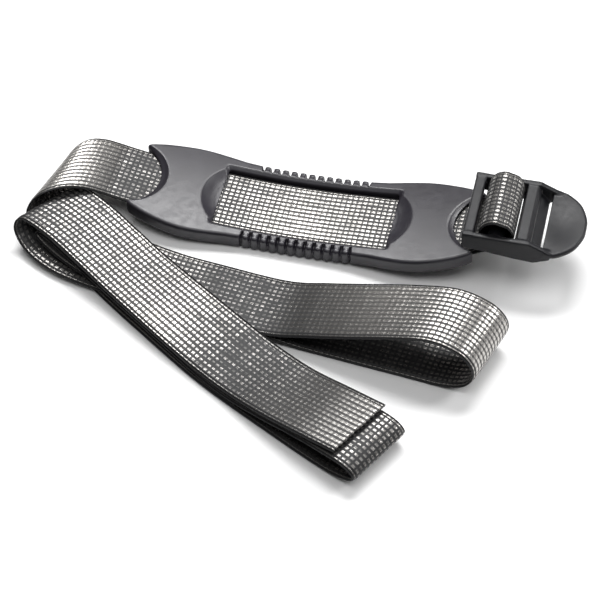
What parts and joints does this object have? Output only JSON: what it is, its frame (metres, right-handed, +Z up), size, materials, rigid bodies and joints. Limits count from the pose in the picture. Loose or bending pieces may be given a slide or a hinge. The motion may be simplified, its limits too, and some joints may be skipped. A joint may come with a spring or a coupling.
{
  "type": "carrying strap with grip handle",
  "caption": "Folded webbing carrying strap threaded through a curved moulded grip handle, with a ladder-lock buckle held by a sewn loop at one end.",
  "frame": {"origin": "bottom centre of the whole folded strap, on the table it lies on", "axes": "+X along the grip handle towards the buckle, +Z up from the table, -Y towards the folded webbing"},
  "size_m": [0.1902, 0.1294, 0.027],
  "materials": {
    "grip_plastic": "satin moulded plastic",
    "buckle_plastic": "satin moulded plastic",
    "webbing": "black polypropylene weave with silvery glossy threads",
    "thread": "black bonded thread"
  },
  "bodies": {
    "webbing": {"webbing_fixed_loop": "webbing", "webbing_grip_run": "webbing", "webbing_lead_out": "webbing", "webbing_lead_fold": "webbing", "webbing_lower_diagonal": "webbing", "webbing_front_fold": "webbing", "webbing_middle_diagonal": "webbing", "webbing_inner_fold": "webbing", "webbing_upper_run": "webbing", "webbing_right_fold": "webbing", "webbing_lower_run": "webbing", "webbing_outer_fold": "webbing", "webbing_top_diagonal": "webbing", "loop_stitching": "thread"},
    "grip": {"grip_handle": "grip_plastic"},
    "buckle": {"buckle": "buckle_plastic"}
  },
  "joints": [
    {"name": "grip_slide", "type": "hinge", "parent": "webbing", "child": "grip", "pos_m": [-0.00638, 0.04512, 0.29004], "axis": [0, 1, 0], "range_deg": [0, 1.2]},
    {"name": "buckle_tilt", "type": "hinge", "parent": "webbing", "child": "buckle", "pos_m": [0.06642, 0.04512, 0.01854], "axis": [0, 1, 0], "range_deg": [0, 25]}
  ]
}
